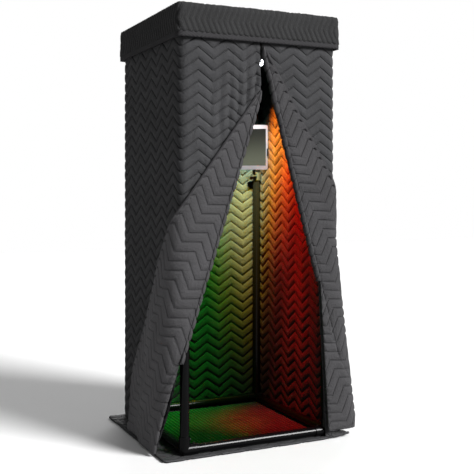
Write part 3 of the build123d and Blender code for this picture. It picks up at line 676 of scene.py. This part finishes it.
def flap_path(side, out, z):
    """A folded flap's middle surface: along the front, round the corner and back along the wall.
    out is the distance along the cloth from the door's middle."""
    reach, widen, start, curve = FLARE[side]
    low = np.clip((start - z) / (start - 100), 0, 1) ** curve
    corner = POST + reach * low
    radius = FLAP_Y - POST + widen * low
    turn_high, turn_low = TAIL_TURN[side]
    bearing = np.radians(turn_high + turn_low * low)
    past = np.clip(out - corner, 0, None)
    arc = np.minimum(past / radius, math.pi / 2 - bearing)
    beyond = np.clip(past - radius * (math.pi / 2 - bearing), 0, None) * GATHER[side]
    x = np.minimum(out, corner) + radius * np.sin(arc) + beyond * np.sin(bearing)
    y = -FLAP_Y + radius * (1 - np.cos(arc)) + beyond * np.cos(bearing)
    # Loose cloth waves a little more the further it is from the fold.
    fold = np.clip((out - fold_at(side, z)) / 300, 0, 1)
    wave = 7.0 * np.sin(beyond / 52 + z / 420 + side) * smooth(beyond / 120)
    wave = wave + 5.0 * ripple(out, z, 170, 5.0 + side) * fold
    x = x + wave * np.where(past > 0, 1.0, 0.0)
    y = y - np.abs(wave) * np.where(past > 0, 0.0, 1.0) - 4 * fold * (past <= 0)
    return np.stack([side * x, y, z], 1)


def mirrored(side, s, z):
    """Where a point of the closed door lies, in the flap's folded-back state, and the reverse."""
    angle = FOLD_ANGLE[side]
    along, off = (math.sin(angle), -math.cos(angle)), (math.cos(angle), math.sin(angle))
    a = (s - DOOR_GAP) * along[0] + (z - FOLD_TOP[side]) * along[1]
    b = (s - DOOR_GAP) * off[0] + (z - FOLD_TOP[side]) * off[1]
    return DOOR_GAP + a * along[0] - b * off[0], FOLD_TOP[side] + a * along[1] - b * off[1]


def flap_place(side):
    """Places a flap's cloth from where it would lie with the door closed."""
    def place(q, z):
        s = HALF_WRAP - side * q + DOOR_GAP
        out, height = mirrored(side, s, z)
        return flap_path(side, out, height)
    return place


def closed_q(side, s):
    """Along the whole cloth, from a distance out from the door's middle."""
    return side * (HALF_WRAP + DOOR_GAP - s)


def flap_marks(side):
    """A flap's corners laid flat and folded back: hem and fold at the booth's corner, and the
    ends of the line that meets the floor when the door is closed."""
    angle = FOLD_ANGLE[side]
    corner = WALL + CLOTH / 2 + 9
    fold_z = FOLD_TOP[side] - (corner - DOOR_GAP) / math.tan(angle)
    return {
        "fold_corner": (corner, fold_z),
        "foot": mirrored(side, corner, FLOOR_LINE),
        "low": mirrored(side, DOOR_GAP, FLOOR_LINE),
    }


# ---------------------------------------------------------------- pieces
def walls():
    top = WALL_TOP
    left_edge = [(-HALF_WRAP, top), (-HALF_WRAP, FOLD_TOP[-1]),
                 (-HALF_WRAP + fold_at(-1, WALL_FOOT) - DOOR_GAP, WALL_FOOT)]
    right_edge = [(HALF_WRAP - JAMB_FOOT + DOOR_GAP, WALL_FOOT),
                  (HALF_WRAP - fold_at(1, JAMB_TOP) + DOOR_GAP, JAMB_TOP),
                  (HALF_WRAP, FOLD_TOP[1]), (HALF_WRAP, top)]
    outline = left_edge + right_edge

    def taper(q, z):
        s = HALF_WRAP + DOOR_GAP - np.abs(q)
        away = np.where(q < 0, from_fold(-1, s, z), from_fold(1, s, z))
        return np.minimum(smooth((away + 4) / 16), smooth((s - DOOR_GAP + 3) / 12))

    # Its inner face takes the darker copy of the cloth, painted shade.
    piece = cloth_piece("wall_wrap", outline, wall_place, "quilt_outer", taper=taper, across=16,
                        inner="quilt_inside")
    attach(piece, "root")
    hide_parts("rear_wall", "left_wall", "right_wall", "front_left_panel", "front_right_panel")


def flap_cloths(side):
    """A flap's main cloth, its hem binding, and the cloth that reaches down to the mat."""
    label = "left" if side < 0 else "right"
    marks = flap_marks(side)
    place = flap_place(side)
    top = FOLD_TOP[side] - 6
    corner_s = marks["fold_corner"][0]
    gap = DOOR_GAP
    closed = [(gap, top), (gap, FLOOR_LINE), (corner_s, FLOOR_LINE), marks["fold_corner"]]
    outline = [(closed_q(side, s), z) for s, z in closed]

    def taper(q, z):
        s = HALF_WRAP - side * q + DOOR_GAP
        return smooth((np.abs(from_fold(side, s, z)) + 2) / 16)

    loft = sizes().loft * 0.8           # hanging free, the cloth lies flatter
    main = cloth_piece(f"{label}_flap_cloth", outline, place, "quilt_lining", taper=taper, loft=loft)
    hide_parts(f"{label}_flap", f"{label}_flap_tail")
    hem = [(gap - 5, top - 30), (gap - 5, FLOOR_LINE - 3), (gap + 9, FLOOR_LINE - 3), (gap + 9, top - 30)]
    hem_outline = [(closed_q(side, s), z) for s, z in hem]
    binding = cloth_piece(f"{label}_flap_binding", hem_outline, place, "binding",
                          quilted=False, thin=10.0, across=16, rows=3)
    # The cloth that reaches on down to the mat, outside the wall. The right one stops short.
    floor = MAT_TOP + (5 if side < 0 else 32)
    if side < 0:
        feet = {"foot": [marks["fold_corner"], (fold_at(side, floor), floor),
                         (marks["low"][0] + 95, floor), marks["low"], marks["foot"]]}
    else:
        jamb = (JAMB_FOOT + 4, floor)
        feet = {"jamb": [(fold_at(side, JAMB_TOP), JAMB_TOP), jamb, marks["foot"], marks["fold_corner"]],
                "foot": [jamb, (marks["low"][0] - 60, floor), marks["low"], marks["foot"]]}
    for part, folded in feet.items():
        foot_outline = []
        for out, height in folded:
            s, z = mirrored(side, out, height)
            foot_outline.append((closed_q(side, s), z))
        foot = cloth_piece(f"{label}_flap_{part}", foot_outline, place, "quilt_lining", loft=loft)
        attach(foot, "root")
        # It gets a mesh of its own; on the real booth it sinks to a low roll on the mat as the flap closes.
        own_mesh(foot)
    for piece in (main, binding):
        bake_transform(piece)


def fold_roll(side):
    """The cloth that rolls over from the front panel to the flap, along the fold."""
    label = "left" if side < 0 else "right"
    angle = FOLD_ANGLE[side]
    high = FOLD_TOP[side] - 8
    low = flap_marks(side)["fold_corner"][1] + 14 if side < 0 else JAMB_TOP
    roll = sizes().roll / MM
    girth = math.pi * math.sqrt((roll ** 2 + ((FLAP_Y - WALL) / 2) ** 2) / 2) + 6

    def place(q, z):
        # q runs round the roll from the panel to the flap, and z down the fold.
        turn = np.clip(q / girth, -0.2, 1.2) * math.pi
        out = fold_at(side, z) - 2
        fade = smooth((high - z) / 60)
        bulge = roll * (0.25 + 0.75 * fade) * (1 + 0.25 * ripple(z * 0, z, 90, 7.0 + side))
        inward = out - bulge * np.sin(turn) * math.cos(angle) + 4
        y = -(WALL + FLAP_Y) / 2 + (FLAP_Y - WALL) / 2 * np.cos(turn)
        return np.stack([side * inward, y, z - bulge * np.sin(turn) * math.sin(angle)], 1)

    outline = [(0, low), (girth, low), (girth, high), (0, high)]
    if side > 0:
        outline = [(0, low), (0, high), (girth, high), (girth, low)]
    piece = cloth_piece(f"{label}_fold_roll", outline, place, "quilt_lining", thin=3.0, across=24)
    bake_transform(piece)


def loop_path(q, half_x, half_y, radius):
    """A rounded rectangle from the rear's middle round the left: x and y at a distance q."""
    bend = radius * math.pi / 2
    run_x, run_y = half_x - radius, half_y - radius
    total = 4 * (run_x + run_y) + 4 * bend
    q = np.mod(q, total)
    marks = np.cumsum([run_x, bend, 2 * run_y, bend, 2 * run_x, bend, 2 * run_y, bend])
    turns = [np.clip((q - marks[i]) / radius, 0, math.pi / 2) for i in (0, 2, 4, 6)]
    runs = [np.clip(q, 0, run_x), np.clip(q - marks[1], 0, 2 * run_y), np.clip(q - marks[3], 0, 2 * run_x),
            np.clip(q - marks[5], 0, 2 * run_y), np.clip(q - marks[7], 0, run_x)]
    x = -runs[0] - radius * np.sin(turns[0]) + radius * (1 - np.cos(turns[1]))
    x = x + runs[2] + radius * np.sin(turns[2]) - radius * (1 - np.cos(turns[3])) - runs[4]
    y = half_y - radius * (1 - np.cos(turns[0])) - runs[1] - radius * np.sin(turns[1])
    y = y + radius * (1 - np.cos(turns[2])) + runs[3] + radius * np.sin(turns[3])
    return x, y


def roof_cover():
    half_x = SKIRT_HIGH[0] - CLOTH / 2
    half_y = SKIRT_HIGH[1] - CLOTH / 2
    radius = 20.0
    total = 4 * (half_x + half_y - 2 * radius) + 2 * math.pi * radius
    foot, top = SKIRT_LOW[2], ROOF_HIGH[2]

    def skirt_place(q, z):
        flare = smooth((top - 30 - z) / 120) * 3.0
        x, y = loop_path(q, half_x, half_y, radius)
        length = np.hypot(x, y)
        lean = flare + 1.6 * ripple(q, z, 130, 9.0) * smooth((top - 20 - z) / 60)
        scale = 1 + lean / np.maximum(length, 1)
        tuck = smooth((z - (top - 16)) / 16) * 7
        scale = scale - tuck / np.maximum(length, 1)
        return np.stack([x * scale, y * scale, z], 1)

    outline = [(0.0, foot + 22), (total, foot + 22), (total, top - 3), (0.0, top - 3)]
    skirt = cloth_piece("roof_skirt_cloth", outline, skirt_place, "quilt_skirt", turned=True,
                        fine=SKIRT_FINE, across=10, rows=5)
    band_outline = [(0.0, foot), (total, foot), (total, foot + 25), (0.0, foot + 25)]

    def band_rows(q, z):
        # Two rows of stitches sink into the hem.
        return 1.2 - 1.6 * np.exp(-((z - foot - 5) / 1.6) ** 2) - 1.6 * np.exp(-((z - foot - 20) / 1.6) ** 2)

    band = cloth_piece("roof_hem_tape", band_outline, skirt_place, "binding", quilted=False,
                       thin=9.0, bulk=band_rows, across=8, rows=24)

    def top_place(q, z):
        edge = np.maximum(np.abs(q) / (half_x + 2), np.abs(z) / (half_y + 2))
        sag = 6.0 * (1 - np.clip(np.maximum(np.abs(q) / POST, np.abs(z) / POST), 0, 1) ** 2)
        drop = 8.0 * smooth((edge - 0.965) / 0.035)
        height = top - 3 - drop - sag * 0.6 + 1.6 * ripple(q, z, 160, 11.0)
        return np.stack([q, z, height], 1)

    edge_x, edge_y = half_x - 1, half_y - 1
    cut = 12.0
    top_outline = [(-edge_x, -edge_y + cut), (-edge_x + cut, -edge_y), (edge_x - cut, -edge_y),
                   (edge_x, -edge_y + cut), (edge_x, edge_y - cut), (edge_x - cut, edge_y),
                   (-edge_x + cut, edge_y), (-edge_x, edge_y - cut)]
    crown = cloth_piece("roof_top_cloth", top_outline, top_place, "quilt_skirt")
    for piece, node in ((skirt, "roof_skirt"), (band, "roof_hem_band"), (crown, "roof_panel")):
        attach(piece, "roof_cover")
        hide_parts(node)


def ground_mat():
    """The quilted mat: it lies flat under the frame, lifts a little at its free edges and curls
    up at its front right corner."""
    side_x, side_y = MAT_HIGH[0] - 4, MAT_HIGH[1] - 4
    rest = MAT_TOP / 2 + 0.5

    def place(q, z):
        free = smooth((np.maximum(np.abs(q) - POST, np.abs(z) - POST) - 10) / 60)
        lift = 4.5 * (0.5 + 0.5 * ripple(q, z, 110, 13.0)) * free
        tip = np.clip((q - 300) / 170, 0, 1) * np.clip((-z - 330) / 90, 0, 1)
        inset = 6.0 * ripple(q, z, 190, 14.0) * free
        x = q - np.sign(q) * np.abs(inset) * (np.abs(q) > POST)
        y = z - np.sign(z) * np.abs(inset) * (np.abs(z) > POST)
        return np.stack([x, y, rest + lift + 15.0 * tip ** 1.5], 1)

    cut = 14.0
    outline = [(-side_x, -side_y + cut), (-side_x + cut, -side_y), (side_x - cut, -side_y),
               (side_x, -side_y + cut), (side_x, side_y - cut), (side_x - cut, side_y),
               (-side_x + cut, side_y), (-side_x, side_y - cut)]
    mat = cloth_piece("ground_mat_cloth", outline, place, "ground_mat", thin=2.6, loft=0.0030)
    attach(mat, "root")
    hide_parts("ground_mat")


def floor_carpet():
    """The ribbed carpet inside the frame: straight ribs across the booth, and upright edges."""
    pitch = 12.0
    low, high = CARPET_LOW, CARPET_HIGH
    count = int((high[1] - low[1] - 6) / pitch)
    profile = [(low[1] + 1, low[2] + 0.2), (low[1] + 1, high[2] - 3.0)]
    for i in range(count):
        start = low[1] + 3 + i * pitch
        for step, rise in ((0.0, -3.2), (0.22, -0.4), (0.5, 0.5), (0.78, -0.4)):
            profile.append((start + step * pitch, high[2] + rise))
    profile += [(high[1] - 1, high[2] - 3.0), (high[1] - 1, low[2] + 0.2)]
    columns = 28
    xs = np.linspace(low[0] + 1, high[0] - 1, columns)
    points, faces = [], []
    for x in xs:
        points += [(x * MM, y * MM, z * MM) for y, z in profile]
    n = len(profile)
    for c in range(columns - 1):
        for i in range(n):
            j = (i + 1) % n
            a, b = c * n + i, c * n + j
            faces.append([a, b, b + n, a + n])
    faces.append(list(range(n)))
    faces.append([(columns - 1) * n + i for i in reversed(range(n))])
    mesh = bpy.data.meshes.new("floor_carpet_ribs")
    mesh.from_pydata(points, [], faces)
    mesh.materials.append(MATERIALS["floor_carpet"])
    mesh.update()
    piece = add_object("floor_carpet_ribs", mesh)
    bm = bmesh.new()
    bm.from_mesh(mesh)
    bmesh.ops.recalc_face_normals(bm, faces=bm.faces)
    bm.to_mesh(mesh)
    bm.free()
    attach(piece, "root")
    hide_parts("floor_carpet")


def hard_parts():
    """Gives every shown solid its finish."""
    slots = {s["node"]: s["material_slot"] for s in frame["record"]["subparts"]}
    for node, piece in frame["nodes"].items():
        if piece.hide_render:
            continue
        material = MATERIALS[slots[node]]
        if not piece.material_slots:
            piece.data.materials.append(material)
        for slot in piece.material_slots:
            slot.link = "OBJECT"
            slot.material = material


# ---------------------------------------------------------------- stage
CAMERA_PLACE = (-1.746, -3.784, 1.170)
CAMERA_TURN = (math.radians(90), 0, -0.447)
CAMERA_LENS = 63.8
SENSOR = 36.0
CAMERA_SHIFT = -0.0975
FLOOR_REACH = 12.0


def add_light(name, kind, place, target, power, colour=(1, 1, 1), **settings):
    data = bpy.data.lights.new(name, kind)
    data.energy = power
    data.color = colour
    for key, value in settings.items():
        setattr(data, key, value)
    light = add_object(name, data)
    light.location = place
    light.rotation_euler = (Vector(target) - Vector(place)).to_track_quat("-Z", "Y").to_euler()
    return light


def studio():
    scene = bpy.context.scene
    camera = bpy.data.cameras.new("camera")
    camera.lens = CAMERA_LENS
    camera.sensor_width = SENSOR
    camera.shift_y = CAMERA_SHIFT
    eye = add_object("camera", camera)
    eye.location = CAMERA_PLACE
    eye.rotation_euler = CAMERA_TURN
    scene.camera = eye
    scene.view_settings.view_transform = "Standard"

    mesh = bpy.data.meshes.new("studio_floor")
    corners = [(x * FLOOR_REACH, y * FLOOR_REACH, 0) for x, y in ((-1, -1), (1, -1), (1, 1), (-1, 1))]
    mesh.from_pydata(corners, [], [(0, 1, 2, 3)])
    floor = add_object("studio_floor", mesh)
    material, tree = new_material("painted_studio_floor")
    place = add_node(tree, "ShaderNodeTexCoord")
    grain = add_node(tree, "ShaderNodeTexNoise", {"Scale": 3.0}, {"Vector": place.outputs["Object"]})
    tone = add_node(tree, "ShaderNodeMix", {"data_type": "RGBA", 6: (0.90, 0.90, 0.90, 1),
                                            7: (0.93, 0.93, 0.93, 1)}, {0: grain.outputs["Fac"]})
    shown = add_node(tree, "ShaderNodeBsdfDiffuse", links={"Color": tone.outputs[2]})
    # What the floor throws back at the booth is held down, as a dark cloth would.
    bounced = add_node(tree, "ShaderNodeBsdfDiffuse", {"Color": (0.30, 0.30, 0.30, 1)})
    path = add_node(tree, "ShaderNodeLightPath")
    shader = add_node(tree, "ShaderNodeMixShader", links={
        0: path.outputs["Is Camera Ray"], 1: bounced.outputs[0], 2: shown.outputs[0]})
    finish_material(tree, shader)
    mesh.materials.append(material)

    world = bpy.data.worlds.new("studio_world")
    scene.world = world
    world.use_nodes = True
    tree = world.node_tree
    tree.nodes.clear()
    seen = add_node(tree, "ShaderNodeBackground", {"Color": (1, 1, 1, 1), "Strength": 1.0})
    cast = add_node(tree, "ShaderNodeBackground", {"Color": (1, 1, 1, 1), "Strength": 0.20})
    path = add_node(tree, "ShaderNodeLightPath")
    mix = add_node(tree, "ShaderNodeMixShader", links={
        0: path.outputs["Is Camera Ray"], 1: cast.outputs[0], 2: seen.outputs[0]})
    add_node(tree, "ShaderNodeOutputWorld", links={"Surface": mix.outputs[0]})
    key = add_light("key", "SUN", (5.0, -7.6, 6.2), (0, 0, 0.6), 5.4, angle=0.4)
    add_light("rear_fill", "SUN", (5.0, 8.0, 5.0), (0, 0, 0.6), 1.6, angle=0.6)
    # The coloured beams fall on the walls, the carpet and the tubes round them, and on nothing
    # else. The key leaves the carpet to them.
    lit = bpy.data.collections.new("lit_by_lamp")
    daylit = bpy.data.collections.new("lit_by_key")
    inside_names = ("wall_wrap", "floor_carpet", "rear_", "bottom_", "front_right_", "post_clamp")
    for piece in scene.objects:
        if piece.type == "MESH" and not piece.hide_render:
            if piece.name.startswith(inside_names):
                lit.objects.link(piece)
            if not piece.name.startswith("floor_carpet"):
                daylit.objects.link(piece)
    key.light_linking.receiver_collection = daylit
    for name, place, target, colour, power, cone in (
            ("green_beam", (0.00, -0.06, 1.74), (-0.20, 0.38, 0.82), (0.0, 1.0, 0.03), 520, 0.95),
            ("mint_beam", (0.16, -0.04, 1.95), (0.25, 0.38, 1.30), (0.38, 1.0, 0.80), 640, 0.60),
            ("lime_beam", (0.26, 0.00, 1.74), (0.29, 0.38, 0.98), (1.0, 0.80, 0.02), 400, 0.50),
            ("amber_beam", (0.14, -0.02, 1.88), (0.385, 0.30, 1.16), (1.0, 0.46, 0.03), 420, 0.60),
            ("orange_beam", (0.08, 0.04, 1.98), (0.39, 0.12, 1.44), (1.0, 0.18, 0.01), 950, 0.60),
            ("red_beam", (0.00, -0.06, 1.66), (0.39, -0.02, 1.10), (1.0, 0.0, 0.0), 360, 0.90),
            ("green_pool", (-0.22, -0.05, 1.30), (-0.24, -0.10, 0.0), (0.0, 1.0, 0.02), 60, 0.62),
            ("amber_pool", (0.02, 0.05, 1.30), (0.02, 0.05, 0.0), (0.80, 0.62, 0.01), 45, 0.42),
            ("red_pool", (0.24, -0.05, 1.30), (0.26, -0.05, 0.0), (1.0, 0.0, 0.0), 250, 0.58)):
        beam = add_light(name, "SPOT", place, target, power, colour, spot_size=cone, spot_blend=1.0,
                         shadow_soft_size=0.03)
        beam.light_linking.receiver_collection = lit
        beam.light_linking.blocker_collection = lit
    # A low fill picks out the left flap's tail against the wall behind it.
    flap_fill = add_light("flap_fill", "SUN", (-7.0, -3.0, 2.0), (0, 0, 0.6), 1.3, angle=0.4)
    tails = bpy.data.collections.new("lit_by_flap_fill")
    for piece in scene.objects:
        if piece.name.startswith("left_flap_") and not piece.hide_render:
            tails.objects.link(piece)
    flap_fill.light_linking.receiver_collection = tails
    add_light("lamp_spill", "SPOT", (0.27, 0.08, 1.80), (0.25, 0.18, 1.40), 18, (0.95, 0.97, 1.0),
              spot_size=0.9, spot_blend=0.8, shadow_soft_size=0.03)


# ---------------------------------------------------------------- operators
class BOOTH_OT_materials(bpy.types.Operator):
    """Make the booth's finishes"""

    bl_idname = "booth.materials"
    bl_label = "Materials"

    def execute(self, context):
        make_materials()
        return {"FINISHED"}


class BOOTH_OT_walls(bpy.types.Operator):
    """Hang the quilted walls"""

    bl_idname = "booth.walls"
    bl_label = "Walls"

    def execute(self, context):
        walls()
        return {"FINISHED"}


class BOOTH_OT_flaps(bpy.types.Operator):
    """Fold the door flaps back round the front corners"""

    bl_idname = "booth.flaps"
    bl_label = "Door flaps"

    def execute(self, context):
        for side in (-1, 1):
            flap_cloths(side)
            fold_roll(side)
        return {"FINISHED"}


class BOOTH_OT_roof(bpy.types.Operator):
    """Lay the roof cover over the frame"""

    bl_idname = "booth.roof"
    bl_label = "Roof cover"

    def execute(self, context):
        roof_cover()
        return {"FINISHED"}


class BOOTH_OT_floor(bpy.types.Operator):
    """Lay the ground mat and the ribbed carpet"""

    bl_idname = "booth.floor"
    bl_label = "Mat and carpet"

    def execute(self, context):
        ground_mat()
        floor_carpet()
        return {"FINISHED"}


class BOOTH_OT_hard_parts(bpy.types.Operator):
    """Finish the frame, the tablet and the lamp"""

    bl_idname = "booth.hard_parts"
    bl_label = "Hard parts"

    def execute(self, context):
        hard_parts()
        return {"FINISHED"}


class BOOTH_OT_studio(bpy.types.Operator):
    """Set up the camera, the floor and the lights"""

    bl_idname = "booth.studio"
    bl_label = "Studio"

    def execute(self, context):
        studio()
        return {"FINISHED"}


STEPS = ("materials", "walls", "flaps", "roof", "floor", "hard_parts", "studio")


class BOOTH_PT_panel(bpy.types.Panel):
    """Lists the booth's steps"""

    bl_idname = "BOOTH_PT_panel"
    bl_label = "Booth"
    bl_space_type = "VIEW_3D"
    bl_region_type = "UI"
    bl_category = "Booth"

    def draw(self, context):
        for step in STEPS:
            self.layout.operator(f"booth.{step}")


CLASSES = (BoothSizes, BoothColours, BOOTH_OT_materials, BOOTH_OT_walls, BOOTH_OT_flaps, BOOTH_OT_roof,
           BOOTH_OT_floor, BOOTH_OT_hard_parts, BOOTH_OT_studio, BOOTH_PT_panel)


def register():
    for cls in CLASSES:
        bpy.utils.register_class(cls)
    bpy.types.Scene.booth_sizes = bpy.props.PointerProperty(type=BoothSizes)
    bpy.types.Scene.booth_colours = bpy.props.PointerProperty(type=BoothColours)


def unregister():
    del bpy.types.Scene.booth_colours
    del bpy.types.Scene.booth_sizes
    for cls in reversed(CLASSES):
        bpy.utils.unregister_class(cls)


def main():
    register()
    for step in STEPS:
        getattr(bpy.ops.booth, step)()
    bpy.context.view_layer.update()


if __name__ == "__main__":
    main()
